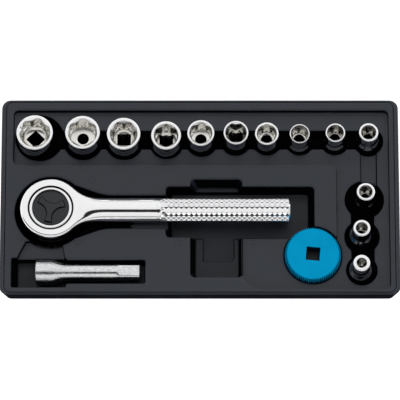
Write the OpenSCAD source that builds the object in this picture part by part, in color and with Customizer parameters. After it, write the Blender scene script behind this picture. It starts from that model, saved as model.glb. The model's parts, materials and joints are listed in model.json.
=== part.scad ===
// Socket wrench set in a shallow moulded case, tools lying or standing in their pockets.
// Origin: centre of the case's base. X runs along the case, Y to its back edge, Z up.

/* [Case] */
// Length of the case at its rim
case_l = 286; // [240:1:345]
// Depth of the case at its rim
case_d = 146; // [128:1:178]
// Height of the rim above the base
case_h = 17.2; // [15:0.2:22]
// Corner radius of the case
case_corner = 6.5; // [3:0.5:8]
// Taper of the outer wall towards the base
case_draft = 1.5; // [0:0.1:2]
// Thickness of the outer floor
shell_floor = 1.6; // [1.2:0.1:2]
// Width of the outer wall at the two ends
shell_side = 3.2; // [2.4:0.1:4]
// Width of the outer wall at the front and back
shell_front = 1.4; // [1:0.1:2]
// Gap between the outer wall and the tray's rim
tray_gap = 0.2; // [0.1:0.05:0.3]
// Wall thickness of the tray
tray_wall = 1.5; // [1:0.1:1.8]

/* [Tray levels] */
// Rim width left, right, front and back of the pockets
rim_left = 8.8; // [7:0.2:10]
rim_right = 7.2; // [6:0.2:9]
rim_front = 4.4; // [4:0.2:6]
rim_back = 8; // [6:0.2:9]
// Step from the rim down to the lower level
step_h = 5; // [4:0.2:6]
// Strip of lower level behind the raised middle
back_strip = 40.7; // [38:0.1:44]
// Column of lower level right of the raised middle
right_strip = 37.9; // [34:0.1:41]
// Width of the raised tongue right of the handle recess
tongue_w = 15.8; // [12:0.2:18]

/* [Sockets] */
// Length of every socket
socket_l = 28; // [25:0.5:32]
// Outer diameter of the drive end of the small sockets
drive_end_d = 17; // [16:0.1:20.4]
// Side of the square drive
drive_sq = 9.53; // [9.3:0.01:9.6]
// Play of a square drive in its hole, on each side
drive_play = 0.15; // [0.1:0.05:0.3]
// Depth of the square drive hole
drive_hole_depth = 10.5; // [9:0.5:12]
// Play between a socket well's wall and its socket, at the mouth
well_play = 1.7; // [1.6:0.1:2.2]

/* [Ratchet] */
// Radius of the round head
head_r = 21.8; // [20:0.2:23]
// Thickness of the head
head_h = 14.4; // [14:0.2:16]
// Length from the head's centre to the end of the handle
ratchet_l = 170.7; // [140:1:175]
// Diameter of the handle
handle_d = 17.4; // [14.5:0.1:18]
// Length of the knurled grip
grip_l = 95.5; // [70:1:100]
// Length of the square drive under the head
drive_l = 10.4; // [9:0.2:10.6]
// Teeth of the ring inside the head
ring_teeth = 48; // [36:12:72]
// Turn of the selector dial
dial_turn = 40; // [30:5:50]

/* [Extension] */
// Length of the extension bar
ext_l = 75; // [60:1:80]
// Diameter of its socket end
ext_end_d = 17.6; // [16.6:0.1:21.2]
// Length of its socket end
ext_end_l = 12.5; // [11:0.5:16]
// Diameter of its shaft
ext_shaft_d = 12.2; // [11.4:0.2:13]

/* [Spinner disc] */
// Radius of the disc over its teeth
disc_r = 20.2; // [18:0.2:21]
// Thickness of the disc
disc_h = 9.5; // [8:0.5:11]
// Teeth round the disc
disc_teeth = 80; // [60:4:90]

/* [Hidden] */
$fn = 64;
eps = 0.01;
run_gap = 0.05;
seat_gap = 0.25;

// case and levels
rim_z = case_h;
low_z = rim_z - step_h;
pocket_z = shell_floor + tray_wall + 0.1;
recess_x0 = -case_l / 2 + rim_left;
recess_x1 = case_l / 2 - rim_right;
recess_y0 = -case_d / 2 + rim_front;
recess_y1 = case_d / 2 - rim_back;
plateau_y = recess_y1 - back_strip;
plateau_x = recess_x1 - right_strip;

// ratchet place
head_clear = 4.5;
head_x = recess_x0 + head_r + head_clear + 1.4;
axis_y = plateau_y - 35.7;
axis_z = 20.6;
head_z0 = axis_z - head_h / 2;
head_z1 = axis_z + head_h / 2;
handle_end = head_x + ratchet_l;
handle_bed_z = axis_z - handle_d / 2 - seat_gap;

// handle recess and its finger stem
grip_x0 = handle_end - grip_l;
recess_hx0 = grip_x0 + 6.6;
recess_hx1 = plateau_x - tongue_w;
recess_hy0 = axis_y - 19;
recess_hy1 = axis_y + 18.9;
stem_x0 = recess_hx0 + 17.5;
stem_x1 = stem_x0 + 37.6;
stem_y0 = recess_y0 + 8.6;
stem_z = 7.2;
slot_inset_x = [9.2, 5.8];
slot_y0 = stem_y0 + 14.2;
notch_y1 = recess_hy1 + 5.6;
wall_slope = 4.5;
low_corner_y0 = recess_hy0 - 1;

// extension place
ext_x0 = recess_x0 + 17;
ext_front_play = 3.6;
ext_y = recess_y0 + ext_end_d / 2 + ext_front_play + 1.1;
ext_z = pocket_z + ext_end_d / 2 + seat_gap;
ext_rx1 = ext_x0 + ext_l + 3.2;
ext_sq_l = 17;
ext_cone_l = 7.5;
ext_wall_play = 9.5;

// spinner disc place
disc_x = plateau_x - 17.3;
disc_y = recess_y0 + 25.9;
disc_z0 = low_z - 4;
disc_tooth_h = 1.5;
disc_play = 0.4;
disc_turn = -5;

// ratchet works
bore_r = 16.4;
flange_r = bore_r - run_gap;
tooth_tip_r = 14.3;
tooth_root_r = 15.3;
core_r = tooth_tip_r - 0.3;
flange_z0 = head_z0 + 1.7;
flange_z1 = flange_z0 + 2.1;
works_z0 = flange_z1 + 0.1;
works_z1 = head_z1 - 3.2;
ring_groove_r = 17.4;
ring_z0 = head_z0 + 0.5;
ring_z1 = ring_z0 + 1;
cover_r1 = 15.3;
cover_r0 = 13.2;
dial_r = cover_r0 - 0.2;
dial_z0 = works_z1 + 0.1;
dial_z1 = head_z1 - 0.7;
drive_z0 = head_z0 - drive_l;
pawl_rock = 8;
pawl_pivot = [-6, 10];
pawl_boss_r = 1.7;
pawl_tooth_x = 0.4;
pawl_tip_x = 5.2;
pawl_pocket_y = 7.4;
pawl_z0 = works_z0 + 0.8;
pawl_z1 = works_z1 - 0.8;
pawl_back = 10.2;
pawl_play = 0.2;
pawl_spring_r = 1.2;
pawl_spring_x = 2.5;
pawl_spring_y = 4.8;
ball_r = 1.6;
spring_wire = 0.45;
ball_out = 0.55;
ball_hole_r = ball_r + run_gap;
dial_ball_r = 1.1;
dial_ball_at = 9;
dial_ball_up = -0.3;
dial_hole = 5.2;
dial_wire = 0.3;

// The sockets of the back row, then those of the right column. Each has its hexagon size, nose
// diameter, well centre, extra radius of the well, lean of the socket from its centre, turn of its
// hexagon, turn of its square, and 1 where the square goes right through. The row's wells are
// measured from the recess's back left corner, the column's from its front right.
ROW = [
    [19, 26.0, [18.6, -19.3], 2.6, [-2.8, -1.9], 15, 45, 1],
    [18, 24.8, [50.0, -21.8], 0, [0, 0.7], 28, 0, 0],
    [17, 24.0, [79.5, -22.1], 0, [0, 0], 0, 0, 1],
    [15, 21.4, [110.1, -22.6], 0, [-0.2, -0.8], 30, 0, 1],
    [14, 19.4, [135.4, -22.0], 0, [-0.6, 0.4], 25, 0, 0],
    [13, 17.8, [159.9, -22.0], 0, [0.1, 0.7], 0, 0, 1],
    [12, 17.0, [182.6, -22.1], 0, [-0.5, 0], 30, 0, 0],
    [11, 14.4, [206.0, -22.1], 0, [-0.4, 0], 4, 0, 0],
    [10, 14.1, [231.4, -22.0], 0, [-0.2, 0.6], 20, 0, 0],
    [9, 13.8, [255.4, -21.7], 0.6, [-0.4, 0.6], 0, 0, 0]
];
COLUMN = [
    [8, 13.1, [-17.9, 67.6], 3.9, [0.3, 0.4], 4, 0, 0],
    [7, 12.2, [-19.9, 40.0], 2.4, [-0.9, 1.0], 30, 0, 0],
    [6, 12.0, [-20.3, 15.3], 1, [-0.9, 0], 14, 0, 0]
];
well_draft = 0.6;
row_channel_y = recess_y1 - 20.9;
row_channel_w = 13.8;
column_channel_x = recess_x1 - 19.3;
column_channel_w = 16.2;
link_groove_x = recess_x1 - 14.5;
link_groove_w = 11.4;
link_groove_depth = 3;
socket_chamfer = 0.5;
nose_l = 12.5;
shoulder_l = 6;
web_h = 1.8;
hex_play = 0.12;

SOCKETS = concat(ROW, COLUMN);
function base_d(s) = max(s[1], drive_end_d);
function is_row(i) = i < len(ROW);
function well_r(i) = base_d(SOCKETS[i]) / 2 + well_play + SOCKETS[i][3];
function well_at(i) = SOCKETS[i][2] + (is_row(i) ? [recess_x0, recess_y1] : [recess_x1, recess_y0]);
function socket_at(i) = well_at(i) + SOCKETS[i][4];

// ---- shared shapes ----

// box between two corners
module span_box(low, high) {
    translate(low) cube(high - low);
}

// upright slab with rounded corners
module rounded_slab(length, depth, height, corner) {
    linear_extrude(height) {
        square([length - 2 * corner, depth], center = true);
        square([length, depth - 2 * corner], center = true);
        for (sx = [-1, 1], sy = [-1, 1])
            translate([sx * (length / 2 - corner), sy * (depth / 2 - corner)]) circle(corner);
    }
}

// recess cutter whose four walls lean inwards towards its floor; slope is [left, right, front, back]
module sloped_recess(low, high, slope) {
    t = high[2] - low[2];
    over = 1;
    k = (t + over) / t;
    x0 = low[0] + slope[0] - slope[0] * k;
    x1 = high[0] - slope[1] + slope[1] * k;
    y0 = low[1] + slope[2] - slope[2] * k;
    y1 = high[1] - slope[3] + slope[3] * k;
    zt = high[2] + over;
    zb = low[2];
    polyhedron(
        points = [
            [low[0] + slope[0], low[1] + slope[2], zb], [high[0] - slope[1], low[1] + slope[2], zb],
            [high[0] - slope[1], high[1] - slope[3], zb], [low[0] + slope[0], high[1] - slope[3], zb],
            [x0, y0, zt], [x1, y0, zt], [x1, y1, zt], [x0, y1, zt]
        ],
        faces = [[0, 1, 2, 3], [4, 7, 6, 5], [0, 4, 5, 1], [1, 5, 6, 2], [2, 6, 7, 3], [3, 7, 4, 0]]
    );
}

// coil spring along Z, from 0 to length
module coil_spring(radius, length, turns, wire = spring_wire) {
    sides = 6;
    per_turn = 10;
    rings = turns * per_turn;
    rise = (length - 2 * wire) / rings;
    function ring_point(i, j) =
        let (turn = 360 * i / per_turn, around = 360 * j / sides,
             r = radius - wire / 2 + wire / 2 * cos(around))
        [r * cos(turn), r * sin(turn), wire + i * rise + wire / 2 * sin(around)];
    points = [for (i = [0:rings], j = [0:sides - 1]) ring_point(i, j)];
    skin = [for (i = [0:rings - 1], j = [0:sides - 1])
        let (a = i * sides + (j + 1) % sides, b = a + sides, d = i * sides + j, c = d + sides)
        each [[a, b, c], [a, c, d]]];
    start_cap = [[for (j = [sides - 1:-1:0]) j]];
    end_cap = [[for (j = [0:sides - 1]) rings * sides + j]];
    polyhedron(points = points, faces = concat(skin, start_cap, end_cap));
}

// square drive hole or stub, centred, from 0 up
module drive_square(side, length) {
    translate([-side / 2, -side / 2, 0]) cube([side, side, length]);
}

// ---- case ----

module case_shell() {
    inner_l = case_l - 2 * shell_side;
    inner_d = case_d - 2 * shell_front;
    inner_corner = case_corner - shell_front;
    color("#3c3f44")
    difference() {
        hull() {
            rounded_slab(case_l - 2 * case_draft, case_d - 2 * case_draft, eps, case_corner - case_draft);
            translate([0, 0, case_h - 1]) rounded_slab(case_l, case_d, 1, case_corner);
        }
        translate([0, 0, shell_floor]) rounded_slab(inner_l, inner_d, case_h, inner_corner);
    }
}

// every pocket of the tray, grown by g on its sides and floor
module lower_level(g) {
    back_floor = low_z - g;
    top = rim_z + 1;
    span_box([recess_x0 - g, plateau_y - g, back_floor], [recess_x1 + g, recess_y1 + g, top]);
    span_box([plateau_x - g, recess_y0 - g, back_floor], [recess_x1 + g, plateau_y + g, top]);
    span_box([stem_x1 - g, recess_y0 - g, back_floor], [recess_x1 + g, low_corner_y0 + g, top]);
    span_box([stem_x1 - g, recess_y0 - g, back_floor], [recess_hx1 + g, recess_hy0 + 1 + g, top]);
}

module socket_wells(g) {
    depth = low_z - pocket_z + g;
    last = len(SOCKETS) - 1;
    column_top = well_at(len(ROW))[1];
    for (i = [0:last])
        translate([well_at(i)[0], well_at(i)[1], pocket_z - g])
            cylinder(h = depth + 1, r1 = well_r(i) - well_draft + g, r2 = well_r(i) + g);
    span_box([well_at(0)[0], row_channel_y - row_channel_w / 2 - g, pocket_z - g],
        [well_at(len(ROW) - 1)[0], row_channel_y + row_channel_w / 2 + g, low_z + 1]);
    span_box([column_channel_x - column_channel_w / 2 - g, well_at(last)[1], pocket_z - g],
        [column_channel_x + column_channel_w / 2 + g, column_top, low_z + 1]);
    span_box([link_groove_x - link_groove_w / 2 - g, column_top, low_z - link_groove_depth - g],
        [link_groove_x + link_groove_w / 2 + g, row_channel_y, low_z + 1]);
}

module ratchet_pocket(g) {
    slot_half = handle_d / 2 + 3.4;
    channel_y = ext_y + ext_end_d / 2 - axis_y;
    channel = [[-17.7, -head_r], [-24.4, channel_y], [10.3, channel_y], [8.1, -head_r]];
    flare = [[12, head_r + g], [38, slot_half + g], [38, -slot_half - g], [12, -head_r - g]];
    translate([head_x, axis_y, pocket_z - g])
        cylinder(h = rim_z - pocket_z + g + 1, r1 = head_r + head_clear - 1 + g, r2 = head_r + head_clear + g);
    span_box([head_x, axis_y - slot_half - g, handle_bed_z - g],
        [recess_hx0 + wall_slope, axis_y + slot_half + g, rim_z + 1]);
    sloped_recess([recess_hx0 - g, recess_hy0 - g, pocket_z - g], [recess_hx1 + g, recess_hy1 + g, rim_z],
        [wall_slope, wall_slope, 2, 2]);
    translate([head_x, axis_y, handle_bed_z - g]) linear_extrude(rim_z - handle_bed_z + g + 1) polygon(flare);
    translate([head_x, axis_y, low_z - g]) linear_extrude(rim_z - low_z + g + 1) polygon(channel);
}

module finger_stem(g) {
    sloped_recess([stem_x0 - g, stem_y0 - g, stem_z - g], [stem_x1 + g, notch_y1 + g, rim_z],
        [wall_slope, 3, 2, 4]);
    span_box([stem_x0 + slot_inset_x[0] - g, slot_y0 - g, pocket_z - g],
        [stem_x1 - slot_inset_x[1] + g, axis_y + g, rim_z + 1]);
}

module extension_pocket(g) {
    half = ext_end_d / 2;
    wall_x = ext_x0 + ext_end_l + ext_wall_play;
    front_y = ext_y - half - ext_front_play;
    sloped_recess([recess_x0 - 0.6 - g, front_y - g, pocket_z - g],
        [wall_x + g, ext_y + half + 0.6 + g, rim_z], [wall_slope, 0, 0, 0]);
    span_box([wall_x - 1, front_y + 2.8 - g, pocket_z - g],
        [ext_rx1 + g, ext_y + half - 1 + g, rim_z + 1]);
}

module disc_pocket(g) {
    translate([disc_x, disc_y, disc_z0 - seat_gap - g])
        cylinder(h = rim_z - disc_z0 + g + 1, r = disc_r + disc_play + g);
}

module pockets(g) {
    lower_level(g);
    socket_wells(g);
    ratchet_pocket(g);
    finger_stem(g);
    extension_pocket(g);
    disc_pocket(g);
}

module tool_tray() {
    rim_l = case_l - 2 * shell_side - 2 * tray_gap;
    rim_d = case_d - 2 * shell_front - 2 * tray_gap;
    rim_corner = case_corner - shell_front - tray_gap;
    relief_r = 8.4;
    color("#42454b")
    difference() {
        intersection() {
            translate([0, 0, shell_floor + eps])
                rounded_slab(rim_l, rim_d, rim_z - shell_floor - eps, rim_corner);
            union() {
                translate([0, 0, rim_z - tray_wall]) rounded_slab(rim_l, rim_d, tray_wall, rim_corner);
                difference() {
                    rounded_slab(rim_l, rim_d, rim_z, rim_corner);
                    rounded_slab(rim_l - 2 * tray_wall, rim_d - 2 * tray_wall, rim_z, rim_corner - tray_wall);
                }
                pockets(tray_wall);
            }
        }
        pockets(0);
        translate([head_x, axis_y, 0]) cylinder(h = rim_z, r = relief_r);
    }
}

// ---- ratchet ----

// outline of the toothed ring, moved inwards by play
module ring_outline(play) {
    pitch = 360 / ring_teeth;
    polygon([for (i = [0:ring_teeth - 1], half = [0, 1])
        let (r = (half == 0 ? tooth_tip_r : tooth_root_r) - play, a = pitch * (i + half / 2))
        [r * cos(a), r * sin(a)]]);
}

module ratchet_body() {
    edge = 2.3;
    neck_l = 36;
    end_chamfer = 0.8;
    handle_r = handle_d / 2;
    color("silver")
    translate([head_x, axis_y, 0])
    difference() {
        union() {
            rotate_extrude()
                polygon([[0, head_z0], [head_r - edge, head_z0], [head_r, head_z0 + edge],
                    [head_r, head_z1 - edge], [head_r - edge, head_z1], [0, head_z1]]);
            hull() {
                translate([8, 0, axis_z]) cube([1, 37, head_h - 3], center = true);
                translate([neck_l, 0, axis_z]) rotate([0, 90, 0]) cylinder(h = 1, r = handle_r, $fn = 32);
            }
            translate([neck_l, 0, axis_z]) rotate([0, 90, 0])
                cylinder(h = ratchet_l - neck_l - end_chamfer, r = handle_r);
            translate([ratchet_l - end_chamfer, 0, axis_z]) rotate([0, 90, 0])
                cylinder(h = end_chamfer, r1 = handle_r, r2 = handle_r - end_chamfer);
        }
        translate([0, 0, head_z0 - 1]) cylinder(h = flange_z1 - head_z0 + 1.05, r = bore_r);
        translate([0, 0, ring_z0]) cylinder(h = ring_z1 - ring_z0, r = ring_groove_r);
        translate([0, 0, works_z0 - 0.1]) linear_extrude(works_z1 - works_z0 + 0.2) ring_outline(0);
        translate([0, 0, works_z1 - 0.15]) cylinder(h = head_h, r = bore_r);
    }
}

module retaining_ring() {
    gap_w = 5;
    color("dimgray")
    translate([head_x, axis_y, ring_z0 + run_gap])
    difference() {
        cylinder(h = ring_z1 - ring_z0 - 2 * run_gap, r = ring_groove_r - run_gap);
        translate([0, 0, -1]) cylinder(h = 4, r = core_r + 0.4);
        translate([0, -gap_w / 2, -1]) cube([ring_groove_r + 1, gap_w, 4]);
    }
}

module ball_hole(depth) {
    translate([drive_sq / 2 - depth, 0, 0]) rotate([0, 90, 0]) cylinder(h = depth + 1, r = ball_hole_r);
}

module drive_core() {
    color("gray")
    translate([head_x, axis_y, 0])
    difference() {
        union() {
            translate([0, 0, flange_z0]) cylinder(h = flange_z1 - flange_z0, r = flange_r);
            translate([0, 0, head_z0]) cylinder(h = works_z1 - head_z0, r = core_r);
            translate([0, 0, drive_z0]) drive_square(drive_sq, head_z0 - drive_z0 + 1);
        }
        for (side = [0, 1]) mirror([0, side, 0]) {
            span_box([pawl_pivot[0] - pawl_boss_r - 0.3, pawl_pocket_y, pawl_z0 - run_gap],
                [pawl_tip_x + 1.4, core_r + 1, pawl_z1 + run_gap]);
            translate([pawl_spring_x, pawl_spring_y - 0.05, (pawl_z0 + pawl_z1) / 2]) rotate([-90, 0, 0])
                cylinder(h = 6, r = pawl_spring_r + 0.15);
        }
        translate([0, 0, drive_z0 + drive_l / 2]) ball_hole(drive_sq - 2);
        translate([dial_ball_at, 0, works_z1 - dial_hole])
            cylinder(h = dial_hole + 1, r = dial_ball_r + run_gap);
    }
}

module cover_ring() {
    color("silver")
    translate([head_x, axis_y, works_z1])
    difference() {
        cylinder(h = dial_z1 - works_z1 + 0.4, r = cover_r1);
        translate([0, 0, -1]) cylinder(h = 9, r = cover_r0);
    }
}

module selector_dial() {
    arm_r = 10.2;
    arm_h = 0.6;
    waist_r = 9.6;
    waist_at = 11.8;
    groove_r = dial_ball_r + run_gap;
    groove_h = dial_ball_r + dial_ball_up + run_gap;
    wedge_r = 20;
    wedge_half = wedge_r * tan(dial_turn / 2);
    color("#35373b")
    translate([head_x, axis_y, dial_z0])
    difference() {
        union() {
            cylinder(h = dial_z1 - dial_z0 - arm_h, r = dial_r);
            rotate(20) difference() {
                cylinder(h = dial_z1 - dial_z0, r = arm_r);
                for (i = [0:2]) rotate(i * 120 + 60) translate([waist_at, 0, -1]) cylinder(h = 9, r = waist_r - 1.2);
            }
        }
        // groove for the detent ball, whose two ends stop the dial
        translate([0, 0, groove_h - 2]) linear_extrude(2) {
            for (turn = [0, dial_turn])
                rotate(-turn) translate([dial_ball_at, 0]) circle(groove_r);
            intersection() {
                difference() {
                    circle(dial_ball_at + groove_r);
                    circle(dial_ball_at - groove_r);
                }
                rotate(-dial_turn / 2) polygon([[0, 0], [wedge_r, -wedge_half], [wedge_r, wedge_half]]);
            }
        }
    }
}

// pawl on the core's +Y side, in mesh with the ring; it rocks about its round boss
module pawl_in_mesh() {
    linear_extrude(pawl_z1 - pawl_z0) {
        translate(pawl_pivot) circle(pawl_boss_r);
        intersection() {
            ring_outline(pawl_play);
            polygon([pawl_pivot + [0, -pawl_boss_r + 0.2], [pawl_tip_x, pawl_back], [pawl_tip_x, tooth_root_r],
                [pawl_tooth_x, tooth_root_r], [pawl_tooth_x - 1.6, 12.6], pawl_pivot + [0, pawl_boss_r]]);
        }
    }
}

module pawl_engaged() {
    color("slategray")
    translate([head_x, axis_y, pawl_z0])
        pawl_in_mesh();
}

// the other pawl faces it across the core, rocked out of mesh
module pawl_free() {
    color("slategray")
    translate([head_x, axis_y, pawl_z0])
    mirror([0, 1, 0])
    translate(pawl_pivot) rotate(-pawl_rock) translate(-pawl_pivot)
        pawl_in_mesh();
}

module pawl_spring(side, length) {
    color("lightgray")
    translate([head_x + pawl_spring_x, axis_y + side * pawl_spring_y, (pawl_z0 + pawl_z1) / 2])
        rotate([-90 * side, 0, 0]) coil_spring(pawl_spring_r, length, 4);
}

module pawl_spring_engaged() {
    pawl_spring(1, pawl_back - pawl_spring_y - 0.4);
}

module pawl_spring_free() {
    drop = (pawl_spring_x - pawl_pivot[0]) * sin(pawl_rock);
    pawl_spring(-1, pawl_back - pawl_spring_y - 0.4 - drop);
}

module dial_ball() {
    color("silver") translate([head_x + dial_ball_at, axis_y, dial_z0 + dial_ball_up])
        sphere(r = dial_ball_r);
}

module dial_spring() {
    bottom = works_z1 - dial_hole + 0.1;
    color("lightgray") translate([head_x + dial_ball_at, axis_y, bottom])
        coil_spring(dial_ball_r - 0.1, dial_z0 + dial_ball_up - dial_ball_r - bottom, 5, dial_wire);
}

// ball and spring that hold a socket on a square drive; placed along +X from the drive's axis
module detent_ball() {
    color("silver") translate([drive_sq / 2 + ball_out - ball_r, 0, 0]) sphere(r = ball_r);
}

module detent_spring() {
    start = 2 - drive_sq / 2;
    color("lightgray") translate([start, 0, 0]) rotate([0, 90, 0])
        coil_spring(ball_r - 0.2, drive_sq / 2 + ball_out - 2 * ball_r - start, 3);
}

module drive_ball() {
    translate([head_x, axis_y, drive_z0 + drive_l / 2]) detent_ball();
}

module drive_ball_spring() {
    translate([head_x, axis_y, drive_z0 + drive_l / 2]) detent_spring();
}

// ---- extension bar ----

// places its children along the lying bar: local Z runs from the socket end to the square end
module along_extension() {
    translate([ext_x0, ext_y, ext_z]) rotate([0, 90, 0]) children();
}

module extension_bar() {
    end_r = ext_end_d / 2;
    shaft_r = ext_shaft_d / 2;
    edge = 0.6;
    sq_z = ext_l - ext_sq_l;
    color("silver")
    along_extension()
    difference() {
        union() {
            cylinder(h = edge, r1 = end_r - edge, r2 = end_r);
            translate([0, 0, edge]) cylinder(h = ext_end_l - edge, r = end_r);
            translate([0, 0, ext_end_l]) cylinder(h = ext_cone_l, r1 = end_r, r2 = shaft_r);
            translate([0, 0, ext_end_l]) cylinder(h = sq_z - ext_end_l, r = shaft_r);
            translate([0, 0, sq_z - eps]) cylinder(h = 2, r1 = shaft_r, r2 = drive_sq / 2);
            translate([0, 0, sq_z]) drive_square(drive_sq, ext_sq_l);
        }
        translate([0, 0, -1]) drive_square(drive_sq + 2 * drive_play, drive_hole_depth + 1);
        translate([0, 0, ext_l - drive_hole_depth / 2]) rotate(90) ball_hole(drive_sq - 2);
    }
}

module extension_ball() {
    along_extension() translate([0, 0, ext_l - drive_hole_depth / 2]) rotate(90) detent_ball();
}

module extension_ball_spring() {
    along_extension() translate([0, 0, ext_l - drive_hole_depth / 2]) rotate(90) detent_spring();
}

// ---- spinner disc ----

module spinner_disc() {
    pitch = 360 / disc_teeth;
    root_r = disc_r - disc_tooth_h;
    edge = 0.8;
    face_r = root_r - edge - 0.3;
    hub_r = 11;
    face_dip = 0.5;
    color("#008cbe")
    translate([disc_x, disc_y, disc_z0])
    rotate(disc_turn)
    difference() {
        union() {
            linear_extrude(disc_h - edge)
                polygon([for (i = [0:disc_teeth - 1], half = [0, 1])
                    let (r = half == 0 ? disc_r : root_r, a = pitch * (i + half / 2))
                    [r * cos(a), r * sin(a)]]);
            translate([0, 0, disc_h - edge - eps])
                cylinder(h = edge + eps, r1 = face_r + edge, r2 = face_r);
        }
        translate([0, 0, -1]) drive_square(drive_sq + 2 * drive_play, disc_h + 2);
        translate([0, 0, -eps]) difference() {
            cylinder(h = face_dip, r = root_r - 2);
            translate([0, 0, -1]) cylinder(h = 3, r = hub_r);
        }
    }
}

// ---- sockets ----

module socket(index) {
    s = SOCKETS[index];
    hex_r = (s[0] / 2 + hex_play) / cos(30);
    r0 = base_d(s) / 2;
    r1 = s[1] / 2;
    hex_depth = socket_l - drive_hole_depth - web_h;
    web_r = min(s[0] / 2 - 0.6, drive_sq / 2 - 0.6);
    square_l = s[7] == 1 ? socket_l : drive_hole_depth + 1;
    lead = 0.8;
    ch = socket_chamfer;
    nose_z = socket_l - nose_l;
    profile = r0 - r1 > 0.5
        ? [[0, 0], [r0 - ch, 0], [r0, ch], [r0, nose_z - shoulder_l], [r1, nose_z],
            [r1, socket_l - ch], [r1 - ch, socket_l], [0, socket_l]]
        : [[0, 0], [r0 - ch, 0], [r0, ch], [r0, socket_l - ch], [r0 - ch, socket_l], [0, socket_l]];
    color("silver")
    translate([socket_at(index)[0], socket_at(index)[1], pocket_z + eps])
    difference() {
        rotate_extrude() polygon(profile);
        rotate(s[5]) translate([0, 0, socket_l - hex_depth])
            linear_extrude(hex_depth + 1) circle(r = hex_r, $fn = 6);
        translate([0, 0, socket_l - lead]) cylinder(h = lead + eps, r1 = s[0] / 2, r2 = min(hex_r + 0.3, r1 - ch));
        cylinder(h = socket_l, r = web_r);
        translate([0, 0, -1]) rotate(s[6]) drive_square(drive_sq + 2 * drive_play, square_l);
    }
}

case_shell();
tool_tray();
ratchet_body();
retaining_ring();
drive_core();
cover_ring();
selector_dial();
pawl_engaged();
pawl_free();
pawl_spring_engaged();
pawl_spring_free();
dial_ball();
dial_spring();
drive_ball();
drive_ball_spring();
extension_bar();
extension_ball();
extension_ball_spring();
spinner_disc();
socket(0);  // socket_19
socket(1);  // socket_18
socket(2);  // socket_17
socket(3);  // socket_15
socket(4);  // socket_14
socket(5);  // socket_13
socket(6);  // socket_12
socket(7);  // socket_11
socket(8);  // socket_10
socket(9);  // socket_09
socket(10);  // socket_08
socket(11);  // socket_07
socket(12);  // socket_06
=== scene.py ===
"""Looks of the socket wrench set: its case, ratchet, extension bar, spinner disc and sockets."""

import json
import logging
import math
from collections.abc import Callable, Sequence
from dataclasses import dataclass, field
from enum import Enum

import bmesh
import bpy
from mathutils import Matrix, Vector

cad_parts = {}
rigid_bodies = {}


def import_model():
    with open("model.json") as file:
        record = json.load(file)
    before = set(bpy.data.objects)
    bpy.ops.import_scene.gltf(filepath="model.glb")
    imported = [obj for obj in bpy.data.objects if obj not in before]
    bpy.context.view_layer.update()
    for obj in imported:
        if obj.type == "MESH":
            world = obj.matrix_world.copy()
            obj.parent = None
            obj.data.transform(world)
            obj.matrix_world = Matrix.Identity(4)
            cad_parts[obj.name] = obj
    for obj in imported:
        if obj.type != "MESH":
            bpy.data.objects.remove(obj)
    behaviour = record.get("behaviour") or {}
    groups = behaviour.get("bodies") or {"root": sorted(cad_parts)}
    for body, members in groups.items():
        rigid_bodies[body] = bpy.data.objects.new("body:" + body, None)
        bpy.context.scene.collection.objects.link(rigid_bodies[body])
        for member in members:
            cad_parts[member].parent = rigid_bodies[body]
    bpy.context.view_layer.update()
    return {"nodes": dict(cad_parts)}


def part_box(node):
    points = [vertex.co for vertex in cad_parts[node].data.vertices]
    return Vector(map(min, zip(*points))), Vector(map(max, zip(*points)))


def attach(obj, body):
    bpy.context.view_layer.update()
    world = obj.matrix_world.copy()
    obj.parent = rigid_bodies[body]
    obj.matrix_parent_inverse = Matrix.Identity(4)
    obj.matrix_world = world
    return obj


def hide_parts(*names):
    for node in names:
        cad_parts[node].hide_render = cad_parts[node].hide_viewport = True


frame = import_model()
MM = 0.001
BUMP_DISTANCE = 0.3 * MM
log = logging.getLogger("socket_set")

Radius = float | Callable[[float], float]


class Slot(Enum):
    """Material slots of the record that new pieces take their finish from."""

    CASE = "case_plastic"
    TRAY = "tray_plastic"
    POLISHED = "polished_chrome"
    SATIN = "satin_chrome"
    DIAL = "dial_plastic"
    BLUE = "blue_plastic"


# ---- shared node groups ----


def add_node(tree: bpy.types.NodeTree, kind: str, **inputs: float | Sequence[float]) -> bpy.types.Node:
    """Adds a shader node with some of its inputs set.

    Args:
        tree: Tree that the node goes in.
        kind: Type of the node, without its ShaderNode prefix.
        inputs: Value of each input, by name with underscores for spaces.

    Returns:
        The node.
    """
    node = tree.nodes.new(f"ShaderNode{kind}")
    for label, value in inputs.items():
        node.inputs[label.replace("_", " ")].default_value = value
    return node


def new_group(name: str, inputs: dict[str, float], outputs: Sequence[str]) -> bpy.types.NodeTree:
    """Starts a shader node group with float inputs and outputs.

    Args:
        name: Name of the group.
        inputs: Default value of each input, by name.
        outputs: Names of the outputs.

    Returns:
        The group, which holds its input and output nodes.
    """
    tree = bpy.data.node_groups.new(name, "ShaderNodeTree")
    for label, value in inputs.items():
        socket = tree.interface.new_socket(label, in_out="INPUT", socket_type="NodeSocketFloat")
        socket.default_value = value
    for label in outputs:
        tree.interface.new_socket(label, in_out="OUTPUT", socket_type="NodeSocketFloat")
    tree.nodes.new("NodeGroupInput").name = "in"
    tree.nodes.new("NodeGroupOutput").name = "out"
    return tree


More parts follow.
